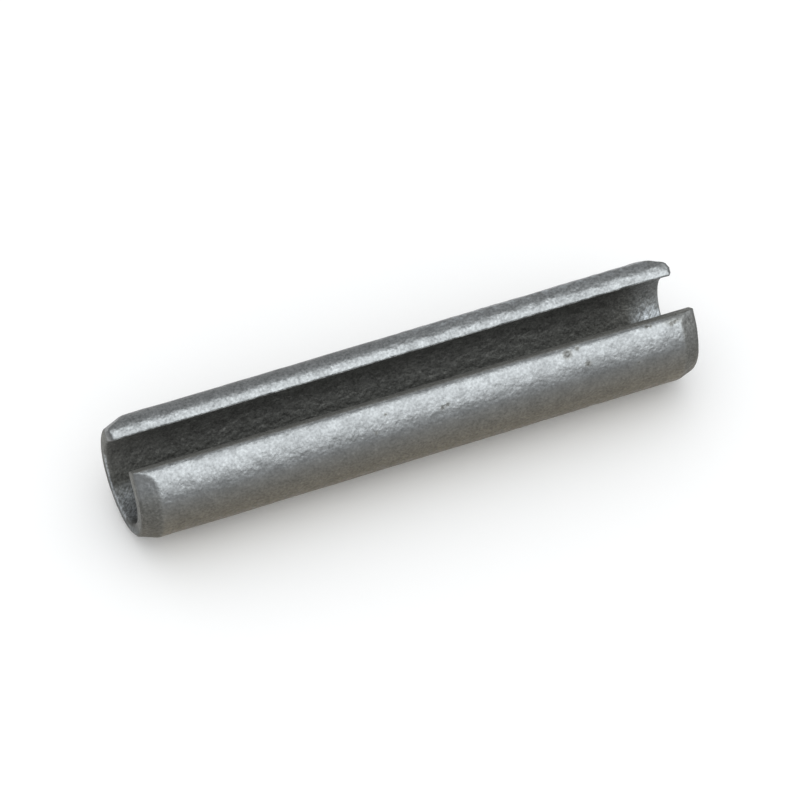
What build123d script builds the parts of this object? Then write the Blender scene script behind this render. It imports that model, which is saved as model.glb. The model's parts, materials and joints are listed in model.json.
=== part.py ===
from build123d import *
import math
import os

# Slotted spring pin, millimetres. The pin lies along X with its slot straight up (+Z), which is how it
# comes to rest on a table, because the missing strip of wall leaves the heavy side below. The origin is
# on the pin's axis, half way along it.
#
# The real pin is one strip of spring steel rolled into a C. The press can't bend the last bit of the
# strip at each edge, so the bore is round up to there and flat from there to the slot, and the two
# edges of the strip face each other across a slot that widens outwards. Shearing leaves the two edges
# unlike: the outer corner of one is rolled over, and the other's is only eased. The tapered ends are
# formed last, so a cone runs out early where a lip's corner is already round.

# Driving sizes
free_diameter = 10.5  # outside, before the pin is driven into its 10 mm hole
pin_length = 50.0
wall = 1.75
slot_width = 3.5  # between the strip's two edges, at the bore
lip_flat = 1.4  # unbent end of the strip, on the bore side
eased_lip_round = 0.5  # outer corner of the strip's edge on the -Y side
rolled_lip_round = 1.2  # outer corner of the strip's edge on the +Y side
lip_inner_round = 0.18  # inner corners of both edges
lead_in_length = 1.7  # conical ends that start the pin into its hole
lead_in_depth = 0.62
shoulder_blend = 4.0  # radius where a lead-in cone runs out into the shank
rim_round = 0.15  # edges of the two end faces

# Worked out from the driving sizes
outer_radius = free_diameter / 2
bore_radius = outer_radius - wall
half_length = pin_length / 2

# The bend ends where the bore's tangent, followed for lip_flat, comes to half the slot's width.
corner_radius = math.hypot(bore_radius, lip_flat)
bend_end_angle = math.asin(slot_width / 2 / corner_radius) + math.atan(lip_flat / bore_radius)


def through_wall(side):
    """Unit vector through the wall of one lip, from the bore outwards. A side is -1 for -Y, 1 for +Y."""
    return Vector(side * math.sin(bend_end_angle), math.cos(bend_end_angle))


def bend_end(side):
    """Point of the bore where its round stretch ends and the lip's flat begins."""
    return through_wall(side) * bore_radius


def inner_corner(side):
    """Corner of the strip's edge at the bore, where the lip's flat ends."""
    to_slot = Vector(-side * math.cos(bend_end_angle), math.sin(bend_end_angle))
    return bend_end(side) + to_slot * lip_flat


def outer_corner(side):
    """Corner of the strip's edge on the outside, before it is rounded."""
    return inner_corner(side) + through_wall(side) * wall


def opening_face():
    """The empty space of the section: the round bore, the two flats, and the slot past the outside."""
    past_outside = [inner_corner(side) + through_wall(side) * outer_radius for side in (-1, 1)]
    bore_bottom = Vector(0, -bore_radius)
    return make_face(
        [
            ThreePointArc(bend_end(-1), bore_bottom, bend_end(1)),
            Polyline(
                bend_end(1), inner_corner(1), past_outside[1], past_outside[0], inner_corner(-1), bend_end(-1)
            ),
        ]
    )


def strip_section():
    """The C as seen from the end, with the four corners of the strip's two edges rounded."""
    section = Sketch() + Circle(outer_radius) - opening_face()
    corners_and_rounds = [
        (outer_corner(-1), eased_lip_round),
        (outer_corner(1), rolled_lip_round),
        (inner_corner(-1), lip_inner_round),
        (inner_corner(1), lip_inner_round),
    ]
    for corner, corner_round in corners_and_rounds:
        section = fillet(section.vertices().sort_by_distance(corner)[0], corner_round)
    return section


def turned_blank():
    """Solid bar with a blended conical lead-in at each end."""
    end_radius = outer_radius - lead_in_depth
    shoulder = half_length - lead_in_length
    corners = [
        (-half_length, 0),
        (-half_length, end_radius),
        (-shoulder, outer_radius),
        (shoulder, outer_radius),
        (half_length, end_radius),
        (half_length, 0),
    ]
    profile = make_face(Polyline(corners, close=True))
    shoulders = profile.vertices().group_by(Axis.Y)[-1]
    return revolve(Plane.XZ * fillet(shoulders, shoulder_blend), Axis.X)


def round_rims(pin):
    """Round all edges of both end faces. The round stays inside the one that the strip's corner has."""
    radius = min(rim_round, 0.9 * lip_inner_round)
    end_edges = pin.edges().filter_by(Plane.YZ).group_by(Axis.X)
    return fillet(end_edges[0] + end_edges[-1], radius)


rolled_strip = extrude(Plane.YZ * strip_section(), amount=half_length, both=True)
spring_pin = round_rims(rolled_strip & turned_blank())
shank_length = spring_pin.faces().filter_by(GeomType.CYLINDER).sort_by(SortBy.AREA)[-1].bounding_box().size.X
print(f"bend ends {math.degrees(bend_end_angle):.2f} degrees from the slot's middle")
print(f"shank {shank_length:.2f} mm long, volume {spring_pin.volume:.2f} mm3, valid {spring_pin.is_valid}")

os.makedirs("parts", exist_ok=True)
export_step(spring_pin, "parts/spring_pin.step")
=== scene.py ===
# %% [markdown]
# # A slotted spring pin, rolled from one strip
#
# A slotted spring pin joins two parts without a thread. It is one strip of spring steel, rolled up like
# a C until its two edges nearly meet. Pushed into a hole half a millimetre too small for it, it closes a
# little and grips by its own spring. The conical ends start it into the hole.
#
# This lesson makes the pin the way a press does: a flat strip, its edges rounded, its ends tapered, then
# rolled up and closed in a round die. After that come the marks of handling, the dull steel, and the
# light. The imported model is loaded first. It holds the pin's true size, and nothing here changes it.

# %% Load the frame
import json
import math
from collections import namedtuple

import bmesh
import bpy
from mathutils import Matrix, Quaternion, Vector


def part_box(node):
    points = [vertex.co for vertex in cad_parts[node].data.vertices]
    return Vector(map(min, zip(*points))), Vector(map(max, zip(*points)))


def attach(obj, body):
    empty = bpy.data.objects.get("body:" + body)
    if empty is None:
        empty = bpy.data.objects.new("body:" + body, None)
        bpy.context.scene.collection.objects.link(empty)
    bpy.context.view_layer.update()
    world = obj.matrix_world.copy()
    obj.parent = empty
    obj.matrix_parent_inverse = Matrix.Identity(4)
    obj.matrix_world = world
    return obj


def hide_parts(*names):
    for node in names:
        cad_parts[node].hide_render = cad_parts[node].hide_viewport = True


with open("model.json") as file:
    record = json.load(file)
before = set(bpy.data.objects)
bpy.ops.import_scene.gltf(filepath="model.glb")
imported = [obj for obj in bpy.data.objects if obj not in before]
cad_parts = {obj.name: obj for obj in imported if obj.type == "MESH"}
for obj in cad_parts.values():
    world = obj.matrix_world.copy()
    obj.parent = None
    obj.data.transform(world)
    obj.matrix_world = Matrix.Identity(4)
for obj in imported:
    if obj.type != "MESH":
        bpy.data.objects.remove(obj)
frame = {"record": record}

MM = 0.001
HAIR = 0.001 * MM  # closer than this counts as the same place
ALIGNED = 0.99  # cosine of eight degrees: what turns less than that counts as along the axis
X, Y, Z = 0, 1, 2

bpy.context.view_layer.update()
lowest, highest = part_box("spring_pin")
mounts = {mount["name"]: mount for mount in frame["record"]["mounts"]}
outer_radius = (highest.y - lowest.y) / 2
bore_radius = mounts["bore"]["dims"]["r_mm"] * MM
half_length = highest.x
print(f"pin {2 * half_length / MM:.1f} mm long, {2 * outer_radius / MM:.2f} mm across")

# %% [markdown]
# ## The flat strip
#
# How long must a strip be to roll up into this C? Its outside gets stretched and its inside squeezed, and
# only the layer in the middle of the wall keeps its length. So the strip's width is the length of that
# middle arc, plus one short straight lip at each edge that the press can't bend.
#
# The strip lies under the pin's axis with its future bore side up, so that rolling it up later leaves it
# exactly in place. A cube primitive, added at that size and place, is the start.

# %% Sizes of the strip
wall = outer_radius - bore_radius
slot_width = 3.5 * MM  # between the two edges of the bore
lip_flat = 1.4 * MM  # the straight lip at each edge

middle_radius = (outer_radius + bore_radius) / 2
corner_radius = math.hypot(bore_radius, lip_flat)  # where a lip's bore side ends
bend_end_angle = math.asin(slot_width / 2 / corner_radius) + math.atan(lip_flat / bore_radius)
bend_sweep = 2 * (math.pi - bend_end_angle)
strip_width = bend_sweep * middle_radius + 2 * lip_flat
half_width = strip_width / 2
print(f"strip {strip_width / MM:.2f} mm wide and {wall / MM:.2f} mm thick, bent through "
      f"{math.degrees(bend_sweep):.1f} degrees")

# %% Helpers to open a piece and to select in it
def only(piece):
    """Selects this object alone and makes it the active one."""
    bpy.ops.object.select_all(action="DESELECT")
    piece.select_set(True)
    bpy.context.view_layer.objects.active = piece


def open_mesh(piece):
    """Goes into edit mode."""
    only(piece)
    bpy.ops.object.mode_set(mode="EDIT")


def close_mesh():
    """Goes back to object mode, which writes the edited mesh to the piece."""
    bpy.ops.object.mode_set(mode="OBJECT")


def pick(piece, kind, test):
    """In edit mode, selects the shown vertices, edges or faces that pass the test. Returns how many."""
    bpy.ops.mesh.select_mode(type=kind)
    bpy.ops.mesh.select_all(action="DESELECT")
    mesh = bmesh.from_edit_mesh(piece.data)
    elements = {"VERT": mesh.verts, "EDGE": mesh.edges, "FACE": mesh.faces}[kind]
    picked = [element for element in elements if not element.hide and test(element)]
    for element in picked:
        element.select = True
    mesh.select_flush_mode()
    bmesh.update_edit_mesh(piece.data)
    return len(picked)


def middle(edge):
    """The point halfway along an edge."""
    return (edge.verts[0].co + edge.verts[1].co) / 2


def runs_along(edge, axis):
    """True for an edge within eight degrees of the axis X, Y or Z."""
    span = edge.verts[0].co - edge.verts[1].co
    return abs(span[axis]) > ALIGNED * span.length


def apply_modifier(piece, modifier):
    """Makes what the modifier does a part of the mesh."""
    only(piece)
    bpy.ops.object.modifier_apply(modifier=modifier.name)


# %% Add the strip
bpy.ops.object.select_all(action="DESELECT")
bpy.ops.mesh.primitive_cube_add(
    size=1, location=(0, 0, -middle_radius), scale=(2 * half_length, strip_width, wall)
)
pin = bpy.context.object
pin.name = "rolled_pin"
bpy.ops.object.transform_apply(location=True, rotation=False, scale=True)
print("blank", [round(side / MM, 2) for side in pin.dimensions])

# %% [markdown]
# ## Edges that shearing left unlike
#
# A shear pulls one edge of a strip over into a wide round and only eases the other. Both show on the
# finished pin, as the two long lips of its slot. Each long edge is bevelled with a circular profile. The
# bevel is then scaled about its own sharp corner at each end, so a round can grow or flatten along the pin
# and stay smooth. Last, each edge is moved in or out a little at each end, because no shear cuts quite
# straight.
#
# A bevel modifier with a weight on each edge would round them too, but all along at one size.

# %% Round the strip's four long edges
NEAR, FAR = -1, 1  # the lip on the -Y side, and the one on the +Y side
LEFT, RIGHT = -1, 1
OUTSIDE, BORE_SIDE = -outer_radius, -bore_radius

inner_lip_rounds = {NEAR: 0.18 * MM, FAR: 0.16 * MM}
lip_rounds = {  # how far each round reaches over the outside, and how far down the edge
    NEAR: {LEFT: (1.45 * MM, 0.50 * MM), RIGHT: (0.75 * MM, 0.52 * MM)},
    FAR: {LEFT: (1.40 * MM, 1.40 * MM), RIGHT: (1.10 * MM, 1.52 * MM)},
}
wider = {  # how much each edge was sheared out of true, at the left end and at the right end
    NEAR: {LEFT: 0.16 * MM, RIGHT: -0.15 * MM},
    FAR: {LEFT: -0.02 * MM, RIGHT: 0.08 * MM},
}


def edge_at(lip, place):
    """Where a long edge runs, at a place along the strip."""
    share = (place + half_length) / (2 * half_length)
    return lip * (half_width + wider[lip][LEFT] * (1 - share) + wider[lip][RIGHT] * share)


def round_long_edge(lip, level, radius, segments):
    """Bevels one long edge, on the strip's outside or on its bore side, all along at one size."""
    pick(pin, "EDGE", lambda edge: runs_along(edge, X)
         and abs(middle(edge).y - lip * half_width) < HAIR
         and abs(middle(edge).z - level) < HAIR)
    bpy.ops.mesh.bevel(offset=radius, segments=segments, profile=0.5, affect="EDGES", clamp_overlap=False)


def resize_round(lip, end, widest):
    """Scales a lip's bevel at one end about its own sharp corner, to the size that it has there."""
    corner = Vector((end * half_length, lip * half_width, OUTSIDE))
    pick(pin, "VERT", lambda vert: abs(vert.co.x - corner.x) < HAIR
         and abs(vert.co.y - corner.y) < widest + HAIR
         and abs(vert.co.z - corner.z) < widest + HAIR)
    over, down = lip_rounds[lip][end]
    bpy.ops.transform.resize(value=(1, over / widest, down / widest), center_override=corner)


open_mesh(pin)
for lip, segments in ((FAR, 14), (NEAR, 10)):
    widest = max(reach for round_size in lip_rounds[lip].values() for reach in round_size)
    round_long_edge(lip, OUTSIDE, widest, segments)
    round_long_edge(lip, BORE_SIDE, inner_lip_rounds[lip], segments=3)
    for end in (LEFT, RIGHT):
        resize_round(lip, end, widest)
        pick(pin, "VERT", lambda vert: vert.co.x * end > 0 and vert.co.y * lip > 0)
        bpy.ops.transform.translate(value=(0, lip * wider[lip][end], 0))
close_mesh()
print("strip's end has", len(pin.data.vertices) // 2, "corners")

# %% [markdown]
# ## Enough faces to bend
#
# A bend needs rows of faces across it. Each row is cut right through the strip with Bisect, so the end
# faces become rows of quads as well. The outside is stretched over a longer arc than the bore, so its rows
# are halved. Subdividing two opposite edges of a face cuts it into clean strips, and the lips and sheared
# edges, which the rows leave out, are divided that way too.

# %% Divide the strip across its width
rows = 80
first_row = -half_width + 1.50 * MM
last_row = half_width - 1.60 * MM


def cut(axis, place):
    """Cuts the selected faces along a plane square to the axis X, Y or Z."""
    square = [0, 0, 0]
    square[axis] = 1
    bpy.ops.mesh.bisect(plane_co=[place * side for side in square], plane_no=square)


def divide(test, cuts):
    """Cuts each edge that passes the test, and the faces between two of them."""
    pick(pin, "EDGE", test)
    bpy.ops.mesh.subdivide(number_cuts=cuts)


def runs_across(edge, level):
    """True for an edge that runs across the strip on its outside or on its bore side."""
    return runs_along(edge, Y) and abs(middle(edge).z - level) < HAIR


open_mesh(pin)
for row in range(rows + 1):
    bpy.ops.mesh.select_all(action="SELECT")
    cut(Y, first_row + (last_row - first_row) * row / rows)
divide(lambda edge: runs_across(edge, OUTSIDE) and first_row < middle(edge).y < last_row, cuts=1)
divide(lambda edge: runs_across(edge, OUTSIDE) and middle(edge).y < first_row, cuts=3)
divide(lambda edge: runs_across(edge, BORE_SIDE) and middle(edge).y < first_row, cuts=5)
divide(lambda edge: runs_across(edge, BORE_SIDE) and middle(edge).y > last_row, cuts=5)
divide(lambda edge: runs_along(edge, Z) and middle(edge).y < -half_width + HAIR, cuts=4)
divide(lambda edge: runs_along(edge, Z) and middle(edge).y > half_width - HAIR, cuts=1)
close_mesh()
print("faces before the ends are shaped:", len(pin.data.polygons))

# %% [markdown]
# ## Tapered ends
#
# Each end runs down in a cone and ends in a dulled rim. Loops of vertices are cut across the strip there,
# close together in the rim's round. Every loop is then flattened to its own level: all that stands proud
# of the cone is scaled to nothing about that level, and what is already lower, as on a rounded lip, stays.
# It is the same as filing, and it keeps the faces in their rows.
#
# At the left end the cone fades out towards the near lip, because that corner gave way under the tool.

# %% Profile of a lead-in
Cone = namedtuple("Cone", "length depth")
cones = {LEFT: Cone(1.72 * MM, 0.66 * MM), RIGHT: Cone(1.60 * MM, 0.60 * MM)}
shoulder_blend = 1.2 * MM
outer_rims = {LEFT: 0.12 * MM, RIGHT: 0.45 * MM}
inner_rims = {LEFT: 0.12 * MM, RIGHT: 0.22 * MM}
edge_rims = {LEFT: 0.12 * MM, RIGHT: 0.15 * MM}


def below_rim(radius, from_face):
    """How far a rounded rim lies below the surface that it rounds."""
    if from_face >= radius:
        return 0
    return radius - math.sqrt(radius**2 - (radius - from_face) ** 2)


def below_shank(end, from_face):
    """How far the cone lies below the shank's surface, with the blend at its shoulder."""
    length, depth = cones[end]
    slope = math.atan2(depth, length)
    tangent = shoulder_blend * math.tan(slope / 2)
    blend_start = length - tangent * math.cos(slope)
    blend_stop = length + tangent
    if from_face >= blend_stop:
        return 0
    if from_face <= blend_start:
        return (length - from_face) * depth / length
    return shoulder_blend - math.sqrt(shoulder_blend**2 - (blend_stop - from_face) ** 2)


for end, side in ((LEFT, "left"), (RIGHT, "right")):
    face_depth = below_shank(end, 0) + below_rim(outer_rims[end], 0)
    print(f"the {side} face is cut back {face_depth / MM:.2f} mm from the outside")

# %% Cut the loops
rim_loops = 5
cone_loops = 14
loops_past_cone = 0.35 * MM  # enough to take in the blend at the shoulder


def loops_of(end):
    """Distances from the end face: at even angles round the rim, then evenly up the cone."""
    rim = outer_rims[end]
    top = cones[end].length + loops_past_cone
    round_part = [rim * (1 - math.cos(math.pi / 2 * loop / rim_loops)) for loop in range(rim_loops)]
    return round_part + [rim + (top - rim) * loop / cone_loops for loop in range(cone_loops + 1)]


open_mesh(pin)
for end in (LEFT, RIGHT):
    for from_face in loops_of(end)[1:]:
        bpy.ops.mesh.select_all(action="SELECT")
        cut(X, end * (half_length - from_face))
close_mesh()
print("loops from the left face:", [round(from_face / MM, 2) for from_face in loops_of(LEFT)])

# %% File them down
corner_relief = 0.15 * MM
corner_reach = 1.3 * MM
corner_curve = 1.5  # above 1, most of the relief is close to the lip
lane_digits = 7  # decimals of a metre by which lanes of vertices along the strip are told apart


def relief(from_lip):
    """How much less the left cone is cut at this distance from the near lip."""
    return corner_relief * max(1 - from_lip / corner_reach, 0) ** corner_curve


def flatten(axis, level, test):
    """Scales the vertices that pass the test to nothing along one axis, about a level."""
    if pick(pin, "VERT", test):
        scale, centre = [1, 1, 1], [0, 0, 0]
        scale[axis], centre[axis] = 0, level
        bpy.ops.transform.resize(value=scale, center_override=centre)


def file_loop(end, from_face):
    """Brings one loop down to the cone, lane by lane beside the near lip's left corner, and to the rims."""
    place = end * (half_length - from_face)
    lip_edge, far_edge = edge_at(NEAR, place), edge_at(FAR, place)
    lane_end = lip_edge + corner_reach if end == LEFT else -math.inf
    rim = OUTSIDE + below_rim(outer_rims[end], from_face)
    length_for_depth = cones[end].length / cones[end].depth

    def in_loop(vert):
        return abs(vert.co.x - place) < HAIR

    lanes = sorted({round(vert.co.y - lip_edge, lane_digits) for vert in bmesh.from_edit_mesh(pin.data).verts
                    if in_loop(vert) and vert.co.y < lane_end})
    for lane in lanes:
        level = rim + below_shank(end, from_face + relief(lane) * length_for_depth)
        flatten(Z, level, lambda vert: in_loop(vert) and vert.co.z < level
                and abs(vert.co.y - lip_edge - lane) < HAIR)
    level = rim + below_shank(end, from_face)
    flatten(Z, level, lambda vert: in_loop(vert) and vert.co.z < level and vert.co.y >= lane_end)
    bore_level = BORE_SIDE - below_rim(inner_rims[end], from_face)
    flatten(Z, bore_level, lambda vert: in_loop(vert) and vert.co.z > bore_level)
    inset = below_rim(edge_rims[end], from_face)
    flatten(Y, lip_edge + inset, lambda vert: in_loop(vert) and vert.co.y < lip_edge + inset)
    flatten(Y, far_edge - inset, lambda vert: in_loop(vert) and vert.co.y > far_edge - inset)


open_mesh(pin)
for end in (LEFT, RIGHT):
    for from_face in loops_of(end):
        file_loop(end, from_face)
close_mesh()
left_face = [vert.co.z for vert in pin.data.vertices if vert.co.x < HAIR - half_length]
print(f"the left face is {(max(left_face) - min(left_face)) / MM:.2f} mm thick")

# %% Rows on the end faces
end_rows = 5
same_corner = 0.004 * MM  # filing brings some corners closer than this, and they become one


def on_end_face(face):
    return abs(face.normal.x) > ALIGNED and abs(abs(face.calc_center_median().x) - half_length) < HAIR


open_mesh(pin)
bpy.ops.mesh.select_all(action="SELECT")
bpy.ops.mesh.remove_doubles(threshold=same_corner)
for row in range(1, end_rows):
    pick(pin, "FACE", on_end_face)
    cut(Z, BORE_SIDE - inner_rims[RIGHT] - (wall - inner_rims[RIGHT]) * row / end_rows)
print("faces on the ends:", pick(pin, "FACE", on_end_face))
bpy.ops.mesh.quads_convert_to_tris(ngon_method="BEAUTY")
close_mesh()

# %% [markdown]
# ## Rows along the pin
#
# The long faces are now cut into short ones, about as long as they are wide. Nothing changes shape yet.
# The rows are there for the dents and for the uneven surface that comes after them.

# %% Divide the strip along its length
shank_bays = 3  # Subdivide makes at most 100 cuts at a time
rows_in_bay = 97

open_mesh(pin)
for longest, cuts in ((half_length, shank_bays - 1), (half_length / shank_bays, rows_in_bay - 1)):
    divide(lambda edge: runs_along(edge, X) and edge.calc_length() > longest, cuts)
close_mesh()
print("faces:", len(pin.data.polygons))

# %% [markdown]
# ## Where it is rubbed, scoured and dark, with painted shade and painted reflections
#
# A new pin comes out of heat treatment black. Tumbling with others rubs its outside down to bare steel, the
# tapering tool scours the mouths of the bore, and the black stays where neither of them reaches. Painted
# shade darkens the cones away from the slot and the bore towards its mouths, and a painted reflection
# brightens the mouths and the left rim. Later the material has to know which place is which.
#
# It could be painted on the finished pin by hand. A rule is easier to change and gives the same result each
# time, and it is simplest while the strip is still flat: the far lip is just the last part of the strip's
# width. So each vertex gets four numbers from 0 to 1 now. The mesh keeps them as attributes, and they stay
# with it through every bend, cut and dent.

# %% What tumbling rubs bright
def clamp(value):
    return min(max(value, 0), 1)


def ramp(value, none, full):
    """Rises from 0 to 1 as the value goes from one bound to the other, upwards or downwards."""
    return clamp((value - none) / (full - none))


def rub_on(vert):
    """The outside and the rolled-over lip are rubbed. The bore and the sheared edges aren't."""
    if vert.co.y > last_row:
        return ramp(vert.normal.z, 0.9, 0.6)
    if vert.co.y < first_row:
        return ramp(vert.normal.z, -0.45, -0.75)
    return ramp(vert.normal.z, -0.1, -0.6)


# %% Where the black film stays, and painted shade on the cones and in the bore
painted_cone_shade, corner_film, edge_film = 0.8, 0.55, 0.58  # how much is left on each: painted shade on the cones, black film on the corner and the edge
cone_shade_starts = {LEFT: 50, RIGHT: 28}  # where the painted shade starts on each cone, in degrees from the slot
cone_shade_fade = 15  # degrees over which it sets in there
cone_shade_line = 0.15 * MM  # half the width of its edge at the cone's shoulder
corner_depth = (3.4 * MM, 2.4 * MM)  # from the right face: where the near lip's corner turns black, and is so
corner_angle = (43, 39)  # the same, in degrees from the slot
painted_mouth_shades = (  # painted shade in the bore, along the pin: where it starts, where it is full, and how strong it is
    (-14 * MM, -22 * MM, 0.27),
    (13 * MM, 19 * MM, 0.53),
)


def nearest_end(vert):
    """Which end a vertex is nearer to, and how far it is from that face."""
    return LEFT if vert.co.x < 0 else RIGHT, half_length - abs(vert.co.x)


def cone_shade_and_corner_film(vert):
    """Painted shade on both cones, except beside the slot, and black film on the corner beside the right
    cone.
    """
    end, from_face = nearest_end(vert)
    from_slot = 180 - math.degrees(abs(vert.co.y) / middle_radius)
    shoulder = cones[end].length
    black = painted_cone_shade * ramp(from_slot, cone_shade_starts[end], cone_shade_starts[end] + cone_shade_fade)
    black *= ramp(from_face, shoulder + cone_shade_line, shoulder - cone_shade_line)
    if end == RIGHT and vert.co.y <= 0:
        black = max(black, corner_film * ramp(from_face, *corner_depth) * ramp(from_slot, *corner_angle))
    return black * ramp(vert.normal.z, 0, -0.5)


def film_on_edge(vert):
    """Black on the near lip's sheared edge."""
    return edge_film * ramp(vert.normal.y, -0.4, -0.8)


def painted_shade_in_bore(vert):
    """Deep in the bore it is dark anyway. Towards the mouths, painted shade keeps it so."""
    in_mouths = max(share * ramp(vert.co.x, none, full) for none, full, share in painted_mouth_shades)
    return in_mouths * ramp(vert.normal.z, 0, 0.5)


# %% What the tapering tool scours, and painted reflections in the mouths
ScourAndReflection = namedtuple("ScourAndReflection", "depth fade low high blur haze strength")
scours_and_reflections = {  # how deep into each mouth, then the band round the bore, in degrees up its far wall
    LEFT: ScourAndReflection(2.6 * MM, 0.6 * MM, low=-38, high=38, blur=22, haze=0, strength=0.40),
    RIGHT: ScourAndReflection(3.1 * MM, 1.6 * MM, low=-20, high=75, blur=32, haze=0.28, strength=0.70),
}
painted_rim_reflection_arc = (-15, 80)  # a painted reflection round the left mouth, in the same degrees: where it lies on the rim, and on the face
painted_face_reflection_arc = (-70, 50)
painted_face_reflection_blur = 20
painted_rim_reflection, painted_face_reflection = 0.9, 0.3  # and how much


def band(value, low, high, blur):
    """1 between two bounds, fading to 0 at each of them."""
    return ramp(value, low, low + blur) * ramp(value, high, high - blur)


def scour_and_reflection_on(vert):
    """A band deep in each mouth, scoured and with a painted reflection, and at the left a painted reflection
    on the rim and the face.
    """
    end, from_face = nearest_end(vert)
    bright_mouth = scours_and_reflections[end]
    up_wall = math.degrees(vert.co.y / middle_radius)
    if end == LEFT and from_face < inner_rims[LEFT]:
        if vert.normal.z > 0.2:
            return painted_rim_reflection if painted_rim_reflection_arc[0] < up_wall < painted_rim_reflection_arc[1] else 0
        return painted_face_reflection * band(up_wall, *painted_face_reflection_arc, painted_face_reflection_blur)
    in_mouth = ramp(from_face, bright_mouth.depth, bright_mouth.depth - bright_mouth.fade)
    in_band = bright_mouth.haze + (1 - bright_mouth.haze) * band(up_wall, bright_mouth.low, bright_mouth.high, bright_mouth.blur)
    return bright_mouth.strength * in_mouth * in_band * ramp(vert.normal.z, 0.3, 0.7)


# %% [markdown]
# ## Attributes, and a vertex group
#
# An attribute is for the material to read. A vertex group does the same for modifiers: it will keep the
# coarse drag marks to the far lip. All the attributes are added before any is filled, because adding one can
# move the others in memory, and a name that was taken before that points nowhere.

# %% Keep all of it with the mesh
# One mark holds the black film together with painted shade, another the scouring together with painted
# reflections.
marks = ("rubbed", "scour_and_reflection", "film_and_shade", "scuffed")
under_film_and_shade = 0.8  # how much the film and the cones' painted shade hide of the rubbed steel under them
lip_border = (last_row - 0.6 * MM, last_row - 0.1 * MM)
dragged = (-2.8 * MM, 5.2 * MM)  # along the pin: where the far lip's roughness starts, and where it is full


def rough_on(vert):
    """The far lip is rough from dragging, and more so towards the right."""
    on_lip = ramp(vert.co.y, *lip_border) * ramp(vert.normal.z, 0.6, 0.2)
    return on_lip * ramp(vert.co.x, *dragged)


for name in marks:
    pin.data.attributes.new(name, "FLOAT", "POINT")
rubbed, scour_and_reflection, film_and_shade, scuffed = (pin.data.attributes[name].data for name in marks)
for vert, rub, bright_mouth, black, scuff in zip(pin.data.vertices, rubbed, scour_and_reflection, film_and_shade, scuffed):
    # On the cones, painted shade also takes away some of the rubbed steel.
    rub.value = rub_on(vert) * (1 - under_film_and_shade * cone_shade_and_corner_film(vert))
    bright_mouth.value = scour_and_reflection_on(vert)
    # Black film on the near edge and the right corner, and painted shade on the cones and towards the bore's
    # mouths.
    black.value = max(film_on_edge(vert), cone_shade_and_corner_film(vert), painted_shade_in_bore(vert))
    scuff.value = rough_on(vert) * ramp(vert.normal.z, -0.5, -0.9)
for name, values in zip(marks, (rubbed, scour_and_reflection, film_and_shade, scuffed)):
    print(name, "at", sum(point.value > 0 for point in values), "vertices")

# %% Keep the drag marks to the far lip
lip_group = pin.vertex_groups.new(name="far_lip")
for vert in pin.data.vertices:
    lip_group.add([vert.index], rough_on(vert), "REPLACE")

# %% [markdown]
# ## Roll it up
#
# The Simple Deform modifier bends a strip about an empty. Its limits stop the bend one lip short of each
# edge, and past the limits the strip runs on straight, as the real one does. The strip's middle layer lies
# on the empty, so that layer keeps its length. The closed round die of the press comes next: a
# Shrinkwrap that only pushes inwards brings the outside of both lips down to the pin's radius.

# %% Bend, then close the die
bpy.ops.object.empty_add(location=(0, 0, -middle_radius), rotation=(math.pi / 2, 0, 0))
roller = bpy.context.object
roll = pin.modifiers.new("roll", "SIMPLE_DEFORM")
roll.deform_method = "BEND"
roll.deform_axis = "X"
roll.origin = roller
roll.angle = bend_sweep
near_lip, far_lip = (lip_flat + max(wider[lip].values()) for lip in (NEAR, FAR))
widest_part = strip_width - 2 * lip_flat + near_lip + far_lip
roll.limits = (near_lip / widest_part, 1 - far_lip / widest_part)
apply_modifier(pin, roll)
bpy.data.objects.remove(roller)

bpy.ops.mesh.primitive_cylinder_add(
    vertices=720, radius=outer_radius, depth=3 * half_length, rotation=(0, math.pi / 2, 0)
)
die = bpy.context.object
press = pin.modifiers.new("press", "SHRINKWRAP")
press.target = die
press.wrap_method = "NEAREST_SURFACEPOINT"
press.wrap_mode = "INSIDE"
apply_modifier(pin, press)
bpy.data.objects.remove(die)
top = max(vert.co.z for vert in pin.data.vertices)
print(f"rolled: {pin.dimensions.y / MM:.2f} mm across, lips end {top / MM:.2f} mm above the axis")

# %% [markdown]
# ## Marks of a hard life
#
# The strip was cut off a little out of square at both ends, and both cones sit off centre by less than a
# tenth of a millimetre. Tumbling with other parts left dents and nicks. Proportional editing makes all of
# it as by hand: a few vertices are moved, and their neighbours follow less and less with distance.
#
# With no window open, the rotate operator turns the other way, so it is given the angle with its sign
# changed, and it needs to be told about which point to turn. Round a dent the faces are first divided once
# more, so its rim comes out crisp. One dent has a bulge in its middle, and some overlap, because real ones
# are seldom round.

# %% Both ends, out of square
skews = (  # end, axis, angle, and the point of the end that stays
    (LEFT, "Y", math.radians(-0.4), (-half_length, 0.5 * MM, 0)),
    (LEFT, "Z", math.radians(1.3), (-half_length, 0.5 * MM, 0)),
    (RIGHT, "Y", math.radians(1.2), (half_length, 0, -outer_radius)),
    (RIGHT, "Z", math.radians(0.9), (half_length, -1.7 * MM, 0)),
)
off_centre = (  # end, how far the cone sits to one side there, and which part of it does
    (LEFT, (0, -0.05 * MM, -0.035 * MM), lambda vert: vert.co.z < 0),
    (RIGHT, (0, -0.06 * MM, -0.04 * MM), lambda vert: vert.co.z < 0 or vert.co.y > 0),
)
end_zone = 0.3 * MM  # what is moved, from the face inwards
skew_reach = 5 * MM  # how far the rest of the pin follows
off_centre_reach = 2.2 * MM

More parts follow.
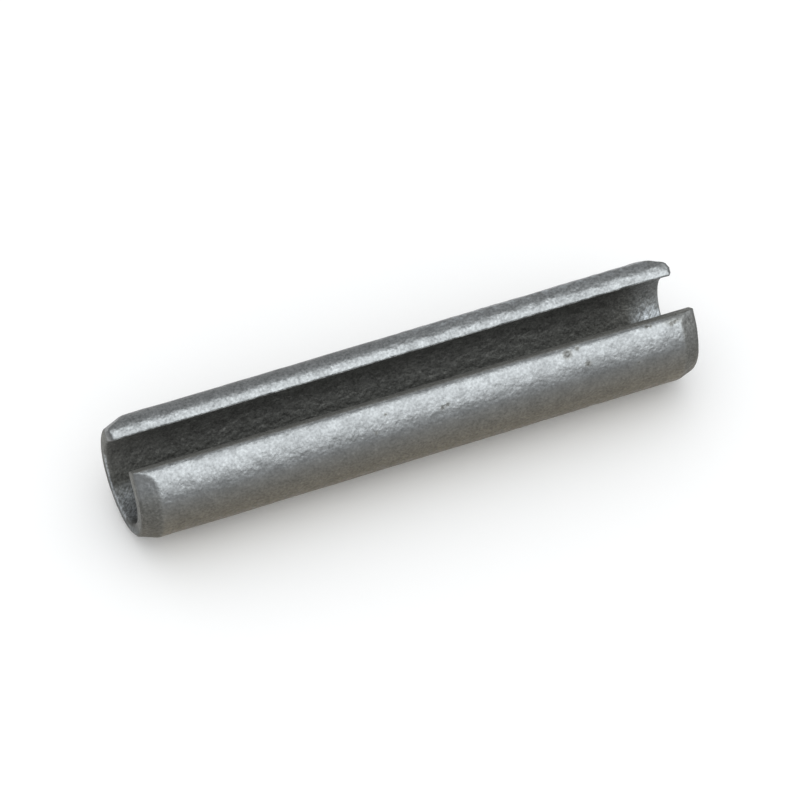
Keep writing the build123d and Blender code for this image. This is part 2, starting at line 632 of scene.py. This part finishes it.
open_mesh(pin)
for end, axis, angle, pivot in skews:
    pick(pin, "VERT", lambda vert: vert.co.x * end > half_length - end_zone)
    bpy.ops.transform.rotate(
        value=-angle, orient_axis=axis, center_override=pivot,
        use_proportional_edit=True, proportional_edit_falloff="LINEAR", proportional_size=skew_reach
    )
for end, offset, follows in off_centre:
    pick(pin, "VERT", lambda vert: vert.co.x * end > half_length - end_zone and follows(vert))
    bpy.ops.transform.translate(
        value=offset, use_proportional_edit=True, proportional_edit_falloff="LINEAR",
        proportional_size=off_centre_reach
    )
close_mesh()
places = [vert.co.x for vert in pin.data.vertices]
print(f"the ends reach {min(places) / MM:.2f} and {max(places) / MM:.2f} mm")


# %% Dents
def on_surface(place, angle):
    """A point on the pin: its place along it, and its angle from the slot towards the -Y side."""
    turn = math.radians(angle)
    return Vector((place, -outer_radius * math.sin(turn), outer_radius * math.cos(turn)))


dents = (  # in mm and degrees: place along the pin, angle, width and depth; a negative depth is a bulge
    (13.31, 41.0, 0.85, 0.060), (13.31, 41.0, 0.40, -0.035), (14.26, 39.3, 0.45, 0.055),
    (20.50, 38.2, 0.38, 0.060), (20.84, 38.8, 0.30, 0.050), (22.72, 42.2, 0.42, 0.075),
    (23.05, 41.5, 0.36, 0.060), (23.30, 40.6, 0.28, 0.040), (14.80, 56.0, 0.60, 0.045),
    (19.30, 70.8, 0.40, 0.050), (1.70, 54.8, 0.45, 0.050), (2.15, 54.0, 0.40, 0.050),
    (-3.15, 46.3, 0.28, 0.040), (-4.30, 60.0, 0.32, 0.030)
)


def nearest_surface(piece, centre):
    """The vertex that is nearest to a point."""
    return min((vert.co for vert in piece.data.vertices), key=lambda place: (place - centre).length).copy()


def dent(centre, width, depth):
    """Divides the faces round a dent, then pushes its bottom in, with a slope that follows."""
    radius = width / 2
    divided, bottom, slope = 1.4 * radius, 0.5 * radius, 0.8 * radius
    pick(pin, "FACE", lambda face: (face.calc_center_median() - centre).length < divided)
    bpy.ops.mesh.subdivide(number_cuts=1)
    pick(pin, "VERT", lambda vert: (vert.co - centre).length < bottom)
    inwards = -Vector((0, centre.y, centre.z)).normalized()
    bpy.ops.transform.translate(
        value=inwards * depth, use_proportional_edit=True, proportional_edit_falloff="SMOOTH",
        proportional_size=slope, use_proportional_connected=True
    )


dented = [nearest_surface(pin, on_surface(place * MM, angle)) for place, angle, width, depth in dents]
open_mesh(pin)
for centre, (place, angle, width, depth) in zip(dented, dents):
    dent(centre, width * MM, depth * MM)
close_mesh()
print("faces with the dents:", len(pin.data.polygons))

# %% Tumbling rubs a bulge, and doesn't reach the bottom of a dent
bulge_rub, dent_shelter = 0.6, 0.8
black_edge, black_core = 1.25, 0.417  # in radii of a dent: where the black in it ends, and where it is full

rubbed, film_and_shade = (pin.data.attributes[name].data for name in ("rubbed", "film_and_shade"))
for centre, (place, angle, width, depth) in zip(dented, dents):
    radius = width / 2 * MM
    for vert, rub, black in zip(pin.data.vertices, rubbed, film_and_shade):
        share = ramp((vert.co - centre).length, black_edge * radius, black_core * radius)
        if share > 0 and depth < 0:
            rub.value = max(rub.value, bulge_rub * share)
        elif share > 0:
            rub.value *= 1 - dent_shelter * share
            black.value = max(black.value, share)
print("dents and nicks:", sum(depth > 0 for place, angle, width, depth in dents))

# %% [markdown]
# ## The surface of a dull pin
#
# Heat treatment and tumbling leave a spring pin faintly lumpy, and dragging over other pins leaves its far
# lip rough. Displace modifiers with cloud textures make that as real geometry, in lumps from less than half
# a millimetre to a few wide. An empty gives the clouds their scale, so the drag marks can be drawn out along
# the pin. Finer grain would need more faces than it is worth, and is left to the material's bump.
#
# Smooth shading then blends the faces' normals. The Weighted Normal modifier lets large faces count for more
# than small ones, which keeps the flats beside a tight round flat.

# %% Uneven surface
def roughen(name, grain, height, stretch=1, group=""):
    """Moves the surface in and out by up to half the height, in lumps about as wide as the grain."""
    texture = bpy.data.textures.new(name, "CLOUDS")
    texture.noise_scale = grain
    texture.noise_depth = 1
    texture.noise_basis = "ORIGINAL_PERLIN"
    bpy.ops.object.empty_add()
    rule = bpy.context.object
    rule.scale = (stretch, 1, 1)
    lumps = pin.modifiers.new(name, "DISPLACE")
    lumps.texture = texture
    lumps.texture_coords = "OBJECT"
    lumps.texture_coords_object = rule
    lumps.mid_level = 0.5
    lumps.strength = height
    lumps.vertex_group = group
    apply_modifier(pin, lumps)
    bpy.data.objects.remove(rule)
    bpy.data.textures.remove(texture)


roughen("slow_waves", grain=2.4 * MM, height=0.050 * MM)
roughen("lumps", grain=0.9 * MM, height=0.028 * MM)
roughen("drag_marks", grain=0.40 * MM, height=0.105 * MM, stretch=2.2, group="far_lip")
pin.vertex_groups.clear()
radii = [math.hypot(vert.co.y, vert.co.z) for vert in pin.data.vertices]
print(f"from {min(radii) / MM:.3f} to {max(radii) / MM:.3f} mm from the axis")

# %% Smooth shading
only(pin)
bpy.ops.object.shade_smooth()
apply_modifier(pin, pin.modifiers.new("even_normals", "WEIGHTED_NORMAL"))
triangles = sum(len(face.vertices) - 2 for face in pin.data.polygons)
print("triangles:", triangles)

# %% [markdown]
# ## Dull steel
#
# This is bare spring steel, grey rather than shiny, because tumbling leaves it full of tiny scratches. A
# metal's Base Color is what it reflects. What is rubbed is fully metallic and reflects softly. The matte
# oxide in the bore is a little less metallic and a good deal rougher, so it stays dark and even.
#
# Two steels are mixed and then laid over one another, as far as each place is rubbed. The matte one is the
# oxide, with painted shade low in the bore, the black film and painted shade on it, and the scouring with a
# painted reflection. The bright one has a painted warm reflection of the table towards the bottom, and the
# scuffs. Noise on Object coordinates then breaks both up, in blotches about a millimetre wide and flecks of a
# fifth of one. An image could carry more, but it would need unwrapping and a file beside the model.
#
# Small functions stand for the nodes, so that a line such as a noise times a mark reads as what it is.

# %% Steel material
steel = bpy.data.materials.new("dull_spring_steel")
steel.use_nodes = True
nodes, links = steel.node_tree.nodes, steel.node_tree.links
shader = nodes["Principled BSDF"]


def join(socket, value):
    """Sets a socket to a value, or links it to another socket."""
    if isinstance(value, bpy.types.NodeSocket):
        links.new(value, socket)
    else:
        socket.default_value = value


def noise(grain, detail=2.0, roughness=0.5):
    """A cloudy pattern from 0 to 1, whose blotches are about as wide as the grain."""
    position = nodes.new("ShaderNodeTexCoord")
    pattern = nodes.new("ShaderNodeTexNoise")
    pattern.inputs["Scale"].default_value = 1 / grain
    pattern.inputs["Detail"].default_value = detail
    pattern.inputs["Roughness"].default_value = roughness
    links.new(position.outputs["Object"], pattern.inputs["Vector"])
    return pattern.outputs["Fac"]


def arithmetic(operation, first, second=0.0, third=0.0):
    """A sum, a product or the like of two or three values or sockets."""
    node = nodes.new("ShaderNodeMath")
    node.operation = operation
    for socket, value in zip(node.inputs, (first, second, third)):
        join(socket, value)
    return node.outputs["Value"]


def spread(source, low, high, new_low, new_high):
    """Carries the range from low to high over to a new one, and stops at its ends."""
    node = nodes.new("ShaderNodeMapRange")
    for name, value in (("Value", source), ("From Min", low), ("From Max", high),
                        ("To Min", new_low), ("To Max", new_high)):
        join(node.inputs[name], value)
    return node.outputs["Result"]


def mark(name):
    """The attribute that was stored in the mesh under this name."""
    node = nodes.new("ShaderNodeAttribute")
    node.attribute_name = name
    return node.outputs["Fac"]


up_far_wall = Vector((0, 0.77, 0.64))  # a direction along the bore's surface, square to the axis


def streaks(length, width, lean):
    """A pattern of streaks on the bore's far wall. Their lean is from the pin's axis, up the wall."""
    position = nodes.new("ShaderNodeTexCoord")
    along_streaks = nodes.new("ShaderNodeMapping")
    along_streaks.vector_type = "TEXTURE"
    climb = up_far_wall * math.sin(lean)
    turn, rise = math.atan2(climb.y, math.cos(lean)), math.asin(climb.z)
    along_streaks.inputs["Rotation"].default_value = (0, -rise, turn)
    along_streaks.inputs["Scale"].default_value = (length, width, width)
    pattern = nodes.new("ShaderNodeTexNoise")
    pattern.inputs["Scale"].default_value = 1
    pattern.inputs["Detail"].default_value = 2
    links.new(position.outputs["Object"], along_streaks.inputs["Vector"])
    links.new(along_streaks.outputs["Vector"], pattern.inputs["Vector"])
    return pattern.outputs["Fac"]


# %% Rubbed outside, matte inside, scoured and with painted reflections in the mouths
position = nodes.new("ShaderNodeTexCoord")
split = nodes.new("ShaderNodeSeparateXYZ")
links.new(position.outputs["Object"], split.inputs["Vector"])
outside = mark("rubbed")
streaky = spread(streaks(0.6 * MM, 0.14 * MM, math.radians(50)), 0.34, 0.64, 0.25, 1.0)
scour_and_reflection_share = arithmetic("MULTIPLY", mark("scour_and_reflection"), streaky)
join(shader.inputs["Metallic"], spread(outside, 0.0, 1.0, 0.80, 1.0))

# %% Colour
def blend_colours(factor, first, second):
    """The first colour where the factor is 0, and the second where it is 1."""
    node = nodes.new("ShaderNodeMix")
    node.data_type = "RGBA"
    for name, value in (("Factor", factor), ("A", first), ("B", second)):
        socket = [one for one in node.inputs if one.name == name and one.enabled][0]
        join(socket, value)
    return [one for one in node.outputs if one.enabled][0]


rubbed_grey = (0.126, 0.129, 0.129, 1)
# A painted warm reflection of the table.
painted_table_reflection = (0.150, 0.131, 0.094, 1)
oxide_grey = (0.155, 0.154, 0.143, 1)
# Painted shade for the low part of the bore.
painted_bore_shade = (0.066, 0.066, 0.060, 1)
# Black for the film, and for the painted shade on the cones and towards the bore's mouths.
film_and_shade_black = (0.048, 0.046, 0.040, 1)
# Pale bluish steel: scouring, partly a painted reflection, in the mouths and on the left rim.
scoured_steel_and_reflection = (0.44, 0.465, 0.485, 1)
scuffed_steel = (0.215, 0.226, 0.232, 1)

# The painted warm reflection of the table grows towards the bottom of the bright steel.
table_reflection_share = spread(split.outputs["Z"], 2.2 * MM, -1.9 * MM, 0.0, 1.0)
bright_steel = blend_colours(table_reflection_share, rubbed_grey, painted_table_reflection)
# Painted shade, darker towards the bottom of the bore.
low_bore_shade = spread(split.outputs["Z"], -1.4 * MM, -2.4 * MM, 0.0, 1.0)
matte_steel = blend_colours(low_bore_shade, oxide_grey, painted_bore_shade)
flaky = spread(noise(0.18 * MM), 0.42, 0.58, 0.65, 1.0)
# Black film, and painted shade on the cones and towards the bore's mouths.
film_and_shade_share = arithmetic("MULTIPLY", mark("film_and_shade"), flaky)
matte_steel = blend_colours(film_and_shade_share, matte_steel, film_and_shade_black)
# Scouring with a painted reflection in the mouths, and a painted reflection on the left rim.
matte_steel = blend_colours(scour_and_reflection_share, matte_steel, scoured_steel_and_reflection)
patchy = spread(noise(0.5 * MM, detail=3), 0.42, 0.62, 0.0, 1.0)
scuffs = arithmetic("MULTIPLY", mark("scuffed"), patchy)
bright_steel = blend_colours(scuffs, bright_steel, scuffed_steel)
plain_steel = blend_colours(outside, matte_steel, bright_steel)

# %% Blotches and flecks
blotches = spread(noise(1.3 * MM, detail=3), 0.3, 0.7, 0.90, 1.10)
fleck = arithmetic("SUBTRACT", noise(0.22 * MM, detail=3, roughness=0.6), 0.5)
fleck_strength = spread(outside, 0.0, 1.0, 1.6, 0.9)
far_half = spread(split.outputs["Y"], 1.0 * MM, 2.5 * MM, 0.0, 0.8)
underside = spread(split.outputs["Z"], 1.5 * MM, -0.5 * MM, 0.0, 0.8)
coarser = arithmetic("MULTIPLY", arithmetic("MAXIMUM", far_half, underside), outside)
fleck_strength = arithmetic("ADD", fleck_strength, coarser)
speckle = arithmetic("MULTIPLY_ADD", fleck, fleck_strength, 1.0)
colour = nodes.new("ShaderNodeVectorMath")
colour.operation = "SCALE"
links.new(plain_steel, colour.inputs[0])
links.new(arithmetic("MULTIPLY", blotches, speckle), colour.inputs["Scale"])
links.new(colour.outputs["Vector"], shader.inputs["Base Color"])

# %% Gloss
fine_gloss = spread(noise(0.2 * MM, detail=2), 0.3, 0.7, -0.06, 0.06)
gloss = arithmetic("ADD", fine_gloss, spread(noise(0.8 * MM, detail=2), 0.3, 0.7, 0.34, 0.46))
join(shader.inputs["Roughness"], arithmetic("ADD", gloss, spread(outside, 0.0, 1.0, 0.22, 0.0)))

# %% Grain too fine for the mesh
grain_height = arithmetic("MULTIPLY_ADD", noise(0.24 * MM, detail=1), 0.18,
                          arithmetic("MULTIPLY", noise(0.6 * MM, detail=1), 0.5))
grain_height = arithmetic("MULTIPLY", grain_height, spread(outside, 0.0, 1.0, 2.0, 1.0))
bump = nodes.new("ShaderNodeBump")
bump.inputs["Strength"].default_value = 1.0
bump.inputs["Distance"].default_value = 0.10 * MM
links.new(grain_height, bump.inputs["Height"])
links.new(bump.outputs["Normal"], shader.inputs["Normal"])

pin.data.materials.clear()
pin.data.materials.append(steel)
print("nodes in the steel:", len(nodes))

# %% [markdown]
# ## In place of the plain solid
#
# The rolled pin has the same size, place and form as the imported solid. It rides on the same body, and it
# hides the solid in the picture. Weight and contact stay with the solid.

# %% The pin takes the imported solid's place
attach(pin, "root")
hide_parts("spring_pin")
print(pin.name, "stands in for spring_pin")

# %% [markdown]
# ## A pale table and one soft lamp
#
# Grey metal shows what is round it, so light makes most of its look. A bright room all round gives the even
# grey. One big rectangular lamp in front and above is mirrored as the broad bright band along the near side
# and the narrow one along the far lip. Its size sets how wide the band is, and its tilt how it runs out
# towards the ends. It is kept out of diffuse light, so the table stays evenly pale and shadows stay soft.
#
# The table is a plain matt plane at the height that the pin lies on. It is stage: part of the picture and
# not of the model.

# %% Floor
floor_size = 4.0
floor_white = (0.97, 0.96, 0.945, 1)

floor_paint = bpy.data.materials.new("pale_floor")
floor_paint.use_nodes = True
floor_shader = floor_paint.node_tree.nodes["Principled BSDF"]
floor_shader.inputs["Base Color"].default_value = floor_white
floor_shader.inputs["Roughness"].default_value = 0.9
floor_shader.inputs["Specular IOR Level"].default_value = 0
bpy.ops.mesh.primitive_plane_add(size=floor_size, location=(0, 0, lowest.z))
floor = bpy.context.object
floor.name = "floor"
floor.data.materials.append(floor_paint)
print(f"floor at {lowest.z / MM:.2f} mm")


# %% Room
def direction(azimuth, elevation):
    """Unit vector from the pin towards a place. Azimuth 0 is the -Y side, and elevation is up from level."""
    turn, rise = math.radians(azimuth), math.radians(elevation)
    return Vector((math.sin(turn) * math.cos(rise), -math.cos(turn) * math.cos(rise), math.sin(rise)))


room_white = (0.96, 0.98, 1.0, 1)
room_strength = 1.15

room = bpy.data.worlds.new("white_room")
bpy.context.scene.world = room
room.use_nodes = True
room_light = room.node_tree.nodes["Background"]
room_light.inputs["Color"].default_value = room_white
room_light.inputs["Strength"].default_value = room_strength

# %% Lamp
lamp_radiance = 5.2
lamp_white = (0.93, 0.97, 1.0)
lamp_width, lamp_height, lamp_distance = 0.7, 0.86, 0.7
lamp_azimuth, lamp_elevation, lamp_roll = 22, 47.5, 18

lamp_data = bpy.data.lights.new("soft_box", "AREA")
lamp_data.shape = "RECTANGLE"
lamp_data.size, lamp_data.size_y = lamp_width, lamp_height
lamp_data.energy = lamp_radiance * math.pi * lamp_width * lamp_height
lamp_data.color = lamp_white
lamp = bpy.data.objects.new("soft_box", lamp_data)
bpy.context.scene.collection.objects.link(lamp)
lamp.visible_diffuse = False
towards_lamp = direction(lamp_azimuth, lamp_elevation)
lamp.location = towards_lamp * lamp_distance
lamp.rotation_mode = "QUATERNION"
lamp.rotation_quaternion = (
    Quaternion(towards_lamp, math.radians(lamp_roll)) @ towards_lamp.to_track_quat("Z", "Y")
)
print(f"lamp of {lamp_data.energy:.1f} W, {lamp_distance} m away")

# %% [markdown]
# ## A long lens from above
#
# The camera looks down at about fifty degrees from the front left, so that the slot, one mouth and both lips
# show. A long lens from far off keeps the pin's long sides nearly parallel. A small roll sets how steeply the
# pin rises across the picture.

# %% Camera
aim = Vector((-0.2255, -0.0640, -0.1235)) * MM
camera_azimuth, camera_elevation, camera_roll = -24.95, 51.23, -3.15
camera_distance = 440.3 * MM
sensor_width = 36
focal_share = 6.614  # focal length in sensor widths
nearest_seen = 10 * MM

camera_data = bpy.data.cameras.new("camera")
camera_data.sensor_width = sensor_width
camera_data.lens = focal_share * sensor_width
camera_data.clip_start = nearest_seen
camera = bpy.data.objects.new("camera", camera_data)
bpy.context.scene.collection.objects.link(camera)
back = direction(camera_azimuth, camera_elevation)
camera.location = aim + back * camera_distance
camera.rotation_mode = "QUATERNION"
camera.rotation_quaternion = Quaternion(back, -math.radians(camera_roll)) @ back.to_track_quat("Z", "Y")
bpy.context.scene.camera = camera
bpy.context.scene.view_settings.view_transform = "Standard"
print(f"lens of {camera_data.lens:.0f} mm, {camera_distance / MM:.0f} mm away")
